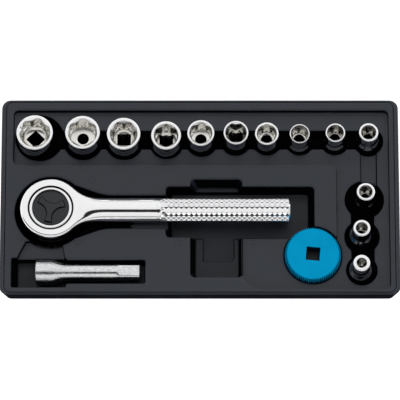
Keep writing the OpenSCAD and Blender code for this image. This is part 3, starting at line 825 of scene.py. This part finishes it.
@dataclass
class Socket:
    """One hexagon socket, stood on its drive end."""

    size: int
    nose: float
    turn: float
    square_turn: float = 0.0
    square_through: bool = False
    square: float = 9.83
    drive_depth: float = 10.5
    web: float = 1.8
    nose_length: float = 12.5
    shoulder: float = 6.0

    def build(self) -> bpy.types.Object:
        """Builds the socket as one skin that runs down its outside and up through its bore."""
        node = f"socket_{self.size:02d}"
        low, high = box_mm(node)
        length = high.z - low.z
        base_r = (high.x - low.x) / 2
        nose_r = self.nose / 2
        apothem = self.size / 2 + 0.12
        corner = apothem * 1.14
        hexagon = polygon_radius(apothem, 6, self.turn, corner)
        half = self.square / 2
        square = polygon_radius(half, 4, self.square_turn, half * 1.33)
        web_r: Radius = square if self.square_through else min(self.size / 2 - 0.6, half - 0.75)
        hex_floor = self.drive_depth + self.web
        lip = min(nose_r - 0.8, corner + 0.15)
        lead = 1.5
        rings = [Ring(0, base_r - 0.5), Ring(0.5, base_r)]
        if base_r - nose_r > 0.5:
            neck = length - self.nose_length
            drop = base_r - nose_r
            foot = neck - self.shoulder
            near, far = 0.06 * drop, 0.26 * drop
            rings += [Ring(foot, base_r), Ring(foot + 1.0, base_r - near), Ring(foot + 2.0, base_r - far)]
            rings += [Ring(neck - 2.0, nose_r + far), Ring(neck - 1.0, nose_r + near), Ring(neck, nose_r)]
        rings += [Ring(length - 0.7, nose_r)] + fillet(length - 0.7, nose_r, 0.7, -0.65)
        rings += [Ring(length, lip + 0.1), Ring(length - 0.08, lip)]
        steps = 8
        for i in range(1, steps + 1):
            mouth = lip + (apothem - lip) * i / steps
            rings.append(Ring(length - 0.08 - lead * i / steps, widest(hexagon, mouth)))
        step_z = hex_floor + min(2.2, 0.12 * self.size)
        rings += [Ring(length - lead - 0.4, hexagon, 1), Ring(step_z, hexagon, 1)]
        rings += [Ring(step_z - 0.25, apothem - 0.15, 1), Ring(step_z - 1.2, apothem - 0.5, 1)]
        if not self.square_through:
            rings += [Ring(hex_floor, max(web_r + 0.25, apothem * 0.72), 1), Ring(hex_floor - 0.1, web_r, 1)]
            rings += [Ring(self.drive_depth, web_r, 1), Ring(self.drive_depth, square, 1)]
        else:
            rings += [Ring(hex_floor - 0.4, widest(square, apothem * 0.8), 1), Ring(hex_floor - 0.8, square, 1)]
        rings += [Ring(0.5, square, 1), Ring(0.0, widest(square, half + 0.6), 1), Ring(0, base_r - 0.5)]
        bm = lofted(rings, 72, self.turn, cap=False)
        bmesh.ops.translate(bm, vec=((low.x + high.x) / 2, (low.y + high.y) / 2, low.z), verts=bm.verts)
        return finished(bm, f"socket_{self.size:02d}_steel", node, node, [POLISHED, BORED])


SOCKETS = [
    Socket(19, 26.0, 15, 45, True), Socket(18, 24.8, 28), Socket(17, 24.0, 0, 0, True),
    Socket(15, 21.4, 30, 0, True), Socket(14, 19.4, 25), Socket(13, 17.8, 0, 0, True), Socket(12, 17.0, 30),
    Socket(11, 14.4, 4), Socket(10, 14.1, 20), Socket(9, 13.8, 0), Socket(8, 13.1, 4), Socket(7, 12.2, 30),
    Socket(6, 12.0, 14),
]


# ---- ratchet ----


@dataclass
class Ratchet:
    """Round-head ratchet: forging, knurled grip, cover ring and selector dial."""

    head_r: float = 21.8
    bore_r: float = 16.4
    edge: float = 2.3
    handle_r: float = 8.7
    neck_end: float = 38.0
    grip_start: float = 75.2
    length: float = 170.7
    dial_turn: float = 20.0
    head_stations: int = 44
    turn_stations: int = 52
    neck_stations: int = 76
    stations: int = 80
    rows: int = 16

    def __post_init__(self) -> None:
        """Finds the head in the frame."""
        low, high = box_mm("cover_ring")
        self.centre = Vector(((low.x + high.x) / 2, (low.y + high.y) / 2, 20.6))
        self.half = 7.2

    def outline(self, station: float) -> Vector:
        """Gives a point of the forging's plan, from the head's far side to the grip.

        Args:
            station: Place along the outline, from 0 to the number of stations.

        Returns:
            The point, relative to the head's centre, on the side with Y above 0.
        """
        leave = math.radians(47)
        if station <= self.head_stations:
            angle = math.pi + (leave - math.pi) * station / self.head_stations
            return Vector((self.head_r * math.cos(angle), self.head_r * math.sin(angle)))
        if station <= self.neck_stations:
            t = (station - self.head_stations) / (self.neck_stations - self.head_stations)
            start = Vector((math.cos(leave), math.sin(leave))) * self.head_r
            first = start + Vector((math.sin(leave), -math.cos(leave))) * 9.5
            last = Vector((self.neck_end, self.handle_r))
            second = last - Vector((11.0, 0.0))
            s = 1 - t
            return s**3 * start + 3 * s * s * t * first + 3 * s * t * t * second + t**3 * last
        t = (station - self.neck_stations) / (self.stations - self.neck_stations)
        return Vector((self.neck_end + (self.grip_start - self.neck_end) * t, self.handle_r))

    def inner_line(self, station: float) -> Vector:
        """Gives the point of the bore or of the centre line that faces a station of the outline."""
        if station <= self.turn_stations:
            angle = math.pi * (1 - station / self.turn_stations)
            return Vector((self.bore_r * math.cos(angle), self.bore_r * math.sin(angle)))
        near = self.outline(self.turn_stations).x - self.bore_r
        k = min(1.0, (station - self.turn_stations) / (self.neck_stations - self.turn_stations))
        return Vector((self.outline(station).x - near * (1 - k) ** 2, 0.0))

    def skin_point(self, station: float, row: float) -> Vector:
        """Gives a point on a quarter of the forging's skin.

        Args:
            station: Place along the outline.
            row: Place from the outline, at 0, to the bore or the crest.

        Returns:
            The point, relative to the head's centre.
        """
        outer, inner = self.outline(station), self.inner_line(station)
        depth = (inner - outer).length
        arc_rows = 6
        wall_z = self.half - self.edge
        if row <= 2:
            plate = Vector((0.0, wall_z * row / 2))
        elif row <= 2 + arc_rows:
            a = math.pi / 2 * (row - 2) / arc_rows
            plate = Vector((self.edge * (1 - math.cos(a)), wall_z + self.edge * math.sin(a)))
        else:
            across = (row - 2 - arc_rows) / (self.rows - 2 - arc_rows)
            plate = Vector((self.edge + (depth - self.edge) * across, self.half))
        a = math.pi / 2 * row / self.rows
        bar = Vector((depth * (1 - math.cos(a)), self.handle_r * math.sin(a)))
        k = (station - self.head_stations - 2) / (self.neck_stations - self.head_stations - 2)
        k = min(1.0, max(0.0, k))
        k = k * k * (3 - 2 * k)
        section = plate * (1 - k) + bar * k
        plan = outer + (inner - outer).normalized() * section.x
        return Vector((plan.x, plan.y, section.y))

    def forging(self) -> bpy.types.Object:
        """Builds the head, neck and shank."""
        bm = bmesh.new()
        bmesh.ops.create_grid(bm, x_segments=self.stations, y_segments=self.rows, size=1.0)
        for vert in bm.verts:
            station = (vert.co.x + 1) / 2 * self.stations
            row = (vert.co.y + 1) / 2 * self.rows
            vert.co = self.skin_point(round(station), round(row))
        for axis in ("Y", "Z"):
            whole = bm.verts[:] + bm.edges[:] + bm.faces[:]
            bmesh.ops.mirror(bm, geom=whole, merge_dist=1e-3, axis=axis)
        bmesh.ops.remove_doubles(bm, verts=bm.verts, dist=1e-3)
        self.bore(bm)
        end = [e for e in bm.edges if e.is_boundary and e.verts[0].co.x > self.grip_start - 0.1]
        bmesh.ops.contextual_create(bm, geom=end)
        bmesh.ops.translate(bm, vec=self.centre, verts=bm.verts)
        return finished(bm, "ratchet_forging", "ratchet", "ratchet_body", [POLISHED, BORE_SHADE_STEEL], 50.0)

    def bore(self, bm: bmesh.types.BMesh) -> None:
        """Lines the head's bore, from the groove round the cover ring to the underside."""
        loop = [e for e in bm.edges if e.is_boundary and e.verts[0].co.z > 1 and e.verts[0].co.x < self.bore_r + 1]
        profile = [(16.4, 4.0), (15.6, 4.0), (15.6, -3.2), (16.4, -3.2), (16.4, -self.half)]
        edges = loop
        for radius, z in profile:
            grown = bmesh.ops.extrude_edge_only(bm, edges=edges)["geom"]
            verts = [g for g in grown if isinstance(g, bmesh.types.BMVert)]
            fresh = set(verts)
            edges = [g for g in grown if isinstance(g, bmesh.types.BMEdge) and all(v in fresh for v in g.verts)]
            for vert in verts:
                angle = math.atan2(vert.co.y, vert.co.x)
                vert.co = (radius * math.cos(angle), radius * math.sin(angle), z)
            # Every face of the bore takes the near-black steel: painted shade in the groove and down the bore.
            for edge in edges:
                for face in edge.link_faces:
                    face.material_index = 1
        bmesh.ops.remove_doubles(bm, verts=bm.verts, dist=1e-3)

    def grip(self) -> bpy.types.Object:
        """Builds the knurled grip and its cut end."""
        around, step, depth = 68, 0.9, 0.5
        count = int((self.length - self.grip_start - 0.8) / step)
        sector = 2 * math.pi / around
        heights = (0.0, 0.5, 1.0, 0.5)

        def knurled(number: int) -> Callable[[float], float]:
            """Gives the radius round one ring of the knurl."""
            bite = depth * min(1.0, number / 9)

            def radius(angle: float) -> float:
                """Gives the radius on a diamond or in a groove between two."""
                column = round(angle / sector)
                height = min(heights[(number + column) % 4], heights[(number - column) % 4])
                return self.handle_r - bite * (1 - height)

            return radius

        rings = [Ring(i * step, knurled(i)) for i in range(count + 1)]
        last = self.length - self.grip_start
        rings += [Ring(last - 0.8, self.handle_r - 0.15), Ring(last, self.handle_r - 0.9), Ring(last, 6.0)]
        bm = lofted(rings, around)
        bmesh.ops.triangulate(bm, faces=[f for f in bm.faces if len(f.verts) == 4], quad_method="SHORT_EDGE")
        bmesh.ops.rotate(bm, verts=bm.verts, matrix=Matrix.Rotation(math.pi / 2, 3, "Y"))
        bmesh.ops.translate(bm, vec=self.centre + Vector((self.grip_start, 0, 0)), verts=bm.verts)
        return finished(bm, "ratchet_grip", "ratchet", "ratchet_body", [KNURLED], 20.0)

    def ring(self) -> bpy.types.Object:
        """Builds the bright ring round the dial."""
        low, high = box_mm("cover_ring")
        height = high.z - low.z
        outer, inner = (high.x - low.x) / 2, 13.2
        rings = [Ring(0, inner), Ring(0, outer), Ring(height - 0.6, outer)]
        rings += fillet(height - 0.6, outer, 0.6, -0.7)
        rings += [Ring(height, inner + 0.5), Ring(height - 0.15, inner + 0.15), Ring(height - 0.5, inner)]
        rings += [Ring(0, inner)]
        bm = lofted(rings, 96, cap=False)
        bmesh.ops.translate(bm, vec=(self.centre.x, self.centre.y, low.z), verts=bm.verts)
        return finished(bm, "dial_ring", "drive", "cover_ring", [POLISHED])

    def dial(self) -> bpy.types.Object:
        """Builds the selector dial with its raised three-armed grip."""
        low, high = box_mm("selector_dial")
        height = high.z - low.z
        outer = (high.x - low.x) / 2
        face = height - 1.2

        def star(shrink: float) -> Callable[[float], float]:
            """Gives the outline of the three arms, drawn in by some distance."""
            sector = 2 * math.pi / 3
            start = math.radians(self.dial_turn)
            hollow_r, hollow_at = 8.6, 12.0

            def radius(angle: float) -> float:
                """Gives the radius at an angle."""
                off = (angle - start) % sector - sector / 2
                inside = (hollow_r + shrink) ** 2 - (hollow_at * math.sin(off)) ** 2
                arm = 10.2 - shrink
                if inside <= 0:
                    return arm
                return min(arm, hollow_at * math.cos(off) - math.sqrt(inside))

            return radius

        rings = [Ring(0, outer - 0.4), Ring(0, outer), Ring(face - 0.35, outer)]
        rings += fillet(face - 0.35, outer, 0.35, -0.4, 3)
        rings += [Ring(face, star(-0.9)), Ring(face + 0.12, star(-0.5)), Ring(height - 0.3, star(0.0))]
        rings += [Ring(height - 0.08, star(0.12)), Ring(height, star(0.4)), Ring(height, star(1.0))]
        bm = lofted(rings, 180)
        # Upright faces, round the rim and on the sides of the arms, take near-black plastic: painted shade.
        bm.normal_update()
        for face in bm.faces:
            if abs(face.normal.z) < 0.75:
                face.material_index = 1
        bmesh.ops.translate(bm, vec=(self.centre.x, self.centre.y, low.z), verts=bm.verts)
        return finished(bm, "dial", "dial", "selector_dial", [DIAL_PLASTIC, BLACK_SHADE_PLASTIC])

    def build(self) -> None:
        """Builds every piece of the ratchet that shows."""
        self.forging()
        self.grip()
        self.ring()
        self.dial()


# ---- extension bar ----


@dataclass
class ExtensionBar:
    """Extension bar, lying with its square end to the right."""

    end_length: float = 12.5
    cone_length: float = 7.5
    shaft_r: float = 6.1
    square_length: float = 17.0
    square: float = 9.53
    socket_square: float = 9.83
    socket_depth: float = 10.5

    def build(self) -> bpy.types.Object:
        """Builds the bar from the floor of its square socket to its square end."""
        low, high = box_mm("extension_bar")
        length = high.x - low.x
        end_r = (high.z - low.z) / 2
        inner = polygon_radius(self.socket_square / 2, 4, 0, self.socket_square / 2 * 1.36)
        half = self.square / 2
        shank = polygon_radius(half, 4, 0, self.shaft_r - 0.05)
        nose = polygon_radius(half - 1.1, 4, 0, self.shaft_r - 1.25)
        square_z = length - self.square_length
        rings = [Ring(self.socket_depth, inner, 1), Ring(0.7, inner, 1), Ring(0, widest(inner, half + 1.1))]
        rings += [Ring(0, end_r - 0.9), Ring(0.12, end_r - 0.45), Ring(0.45, end_r - 0.12), Ring(0.9, end_r)]
        rings += [Ring(self.end_length - 0.2, end_r), Ring(self.end_length + 0.6, end_r - 0.25)]
        shaft_z = self.end_length + self.cone_length
        rings += [Ring(shaft_z - 0.8, self.shaft_r + 0.3), Ring(shaft_z + 0.2, self.shaft_r)]
        rings += [Ring(square_z - 0.3, self.shaft_r), Ring(square_z + 0.3, self.shaft_r - 0.1)]
        rings += [Ring(square_z + 1.9, shank), Ring(length - 1.1, shank)]
        rings += [Ring(length - 0.2, nose), Ring(length, polygon_radius(half - 1.6, 4, 0, self.shaft_r - 1.8))]
        bm = lofted(rings, 96, 45)
        bmesh.ops.rotate(bm, verts=bm.verts, matrix=Matrix.Rotation(math.pi / 2, 3, "Y"))
        bmesh.ops.translate(bm, vec=(low.x, (low.y + high.y) / 2, (low.z + high.z) / 2), verts=bm.verts)
        return finished(bm, "extension", "extension", "extension_bar", [SATIN, BORED])


# ---- spinner disc ----


@dataclass
class SpinnerDisc:
    """Toothed disc that turns a socket by hand."""

    teeth: int = 80
    tooth: float = 1.4
    turn: float = -5.0
    square: float = 9.83

    def build(self) -> bpy.types.Object:
        """Builds the disc with its toothed rim, soft top edge and square hole."""
        low, high = box_mm("spinner_disc")
        height = high.z - low.z
        tip = (high.x - low.x) / 2
        root = tip - self.tooth

        def toothed(foot: float, crest: float) -> Callable[[float], float]:
            """Gives the toothed outline between the radius of the gaps and that of the teeth."""

            def radius(angle: float) -> float:
                """Gives the radius at an angle."""
                wave = 0.5 + 0.5 * math.cos(self.teeth * (angle - math.radians(self.turn)))
                return foot + (crest - foot) * wave

            return radius

        half = self.square / 2
        hole = polygon_radius(half, 4, self.turn, half * 1.38)
        face_r = root - 0.5
        rings = [Ring(0, hole), Ring(0.0, 11.0), Ring(0.5, 11.3), Ring(0.5, root - 2.3), Ring(0, root - 2.0)]
        rings += [Ring(0, root - 0.5), Ring(0.7, toothed(root, tip - 0.6)), Ring(1.3, toothed(root, tip - 0.1))]
        rings += [Ring(height - 2.4, toothed(root, tip - 0.1)), Ring(height - 1.5, toothed(root - 0.1, tip - 0.5))]
        rings += [Ring(height - 0.7, toothed(root - 0.3, root + 0.2)), Ring(height - 0.25, face_r + 0.15)]
        rings += [Ring(height - 0.06, face_r - 0.05), Ring(height, face_r - 0.3), Ring(height, face_r - 1.0)]
        rings += [Ring(height, half + 3.2), Ring(height, half + 2.2)]
        rings += [Ring(height, polygon_radius(half + 0.2, 4, self.turn, 9)), Ring(height - 0.2, hole)]
        rings += [Ring(height - 1.0, hole), Ring(0, hole)]
        bm = lofted(rings, self.teeth * 4, 45 + self.turn, cap=False)
        bm.normal_update()
        for face in bm.faces:
            middle = face.calc_center_median()
            gap = math.cos(self.teeth * (math.atan2(middle.y, middle.x) - math.radians(self.turn))) < 0
            in_hole = middle.xy.length < half * 1.45 and middle.z < height - 0.3
            in_gap = gap and middle.xy.length > root - 0.25 and middle.z < height - 0.4
            if in_hole or in_gap:
                face.material_index = 1
        bmesh.ops.translate(bm, vec=((low.x + high.x) / 2, (low.y + high.y) / 2, low.z), verts=bm.verts)
        return finished(bm, "disc", "spinner", "spinner_disc", [BLUE_PLASTIC, SHADED_BLUE])


# ---- CAD nodes that stay ----

KEPT: dict[str, bpy.types.Material] = {
    "retaining_ring": DARK_STEEL, "drive_core": DARK_STEEL, "pawl_engaged": DARK_STEEL, "pawl_free": DARK_STEEL,
    "pawl_spring_engaged": SPRING_STEEL, "pawl_spring_free": SPRING_STEEL, "dial_ball": POLISHED,
    "dial_spring": SPRING_STEEL, "drive_ball": POLISHED, "drive_ball_spring": SPRING_STEEL,
    "extension_ball": POLISHED, "extension_ball_spring": SPRING_STEEL,
}


def dress_kept_nodes() -> None:
    """Gives each CAD node that stays its finish."""
    for node, material in KEPT.items():
        mesh = frame["nodes"][node].data
        mesh.materials.clear()
        mesh.materials.append(material)
        log.info("%s: dressed", node)


# ---- stage ----


def stage() -> None:
    """Lays the pale floor, lights it and sets the camera."""
    bm = bmesh.new()
    bmesh.ops.create_grid(bm, x_segments=1, y_segments=1, size=6.0)
    bmesh.ops.translate(bm, vec=(0, 0, -0.0002), verts=bm.verts)
    mesh = bpy.data.meshes.new("floor")
    bm.to_mesh(mesh)
    bm.free()
    floor = bpy.data.objects.new("floor", mesh)
    bpy.context.scene.collection.objects.link(floor)
    material, shader = new_material("floor_paper")
    shader.inputs["Base Color"].default_value = (0.9, 0.9, 0.9, 1)
    shader.inputs["Roughness"].default_value = 0.9
    shader.inputs["Emission Color"].default_value = (1, 1, 1, 1)
    shader.inputs["Emission Strength"].default_value = 0.8
    mesh.materials.append(material)
    bpy.context.scene.view_settings.view_transform = "Standard"
    light_tent()
    camera = bpy.data.cameras.new("camera")
    camera.lens = 325.8
    camera.sensor_width = 36.0
    viewer = bpy.data.objects.new("camera", camera)
    tilt = math.radians(73)
    distance = 2.6
    target = Vector((0.0, -0.0004, 0.010))
    viewer.location = target + Vector((0, -math.cos(tilt), math.sin(tilt))) * distance
    viewer.rotation_euler = (math.pi / 2 - tilt, 0, 0)
    camera.clip_end = 60
    bpy.context.scene.collection.objects.link(viewer)
    bpy.context.scene.camera = viewer


def light_tent() -> None:
    """Builds the pale tent round the set, with the dark opening that the view goes through."""
    world = bpy.data.worlds.new("tent")
    bpy.context.scene.world = world
    world.use_nodes = True
    nodes, links = world.node_tree.nodes, world.node_tree.links
    place = add_node(world.node_tree, "TexCoord")
    split = add_node(world.node_tree, "SeparateXYZ")
    links.new(place.outputs["Generated"], split.inputs["Vector"])
    slope = add_node(world.node_tree, "Math")
    slope.operation = "ARCTAN2"
    links.new(split.outputs["Y"], slope.inputs[0])
    links.new(split.outputs["Z"], slope.inputs[1])
    ramp = add_node(world.node_tree, "ValToRGB")
    strength = 1.2
    stops = [
        (-180, 0.9), (-105, 0.9), (-92, 0.7), (-88, 0.3), (-76, 0.4), (-72, 0.9), (-36, 0.95), (-33, 0.03),
        (-9, 0.015), (-6, 0.9), (20, 0.95), (60, 0.98), (88, 0.75), (180, 0.75),
    ]
    elements = ramp.color_ramp.elements
    while len(elements) < len(stops):
        elements.new(0.5)
    for element, (angle, level) in zip(elements, stops):
        element.position = (angle + 180) / 360
        element.color = (level / strength, level / strength, level / strength, 1)
    turn = add_node(world.node_tree, "MapRange", From_Min=-math.pi, From_Max=math.pi)
    links.new(slope.outputs["Value"], turn.inputs["Value"])
    links.new(turn.outputs["Result"], ramp.inputs["Fac"])
    back = nodes["Background"]
    back.inputs["Strength"].default_value = strength
    links.new(ramp.outputs["Color"], back.inputs["Color"])


def main() -> None:
    """Stages the scene and builds every sub-assembly."""
    logging.basicConfig(level=logging.INFO, format="%(message)s")
    stage()
    Case().build()
    Ratchet().build()
    ExtensionBar().build()
    SpinnerDisc().build()
    for socket in SOCKETS:
        socket.build()
    dress_kept_nodes()


if __name__ == "__main__":
    main()
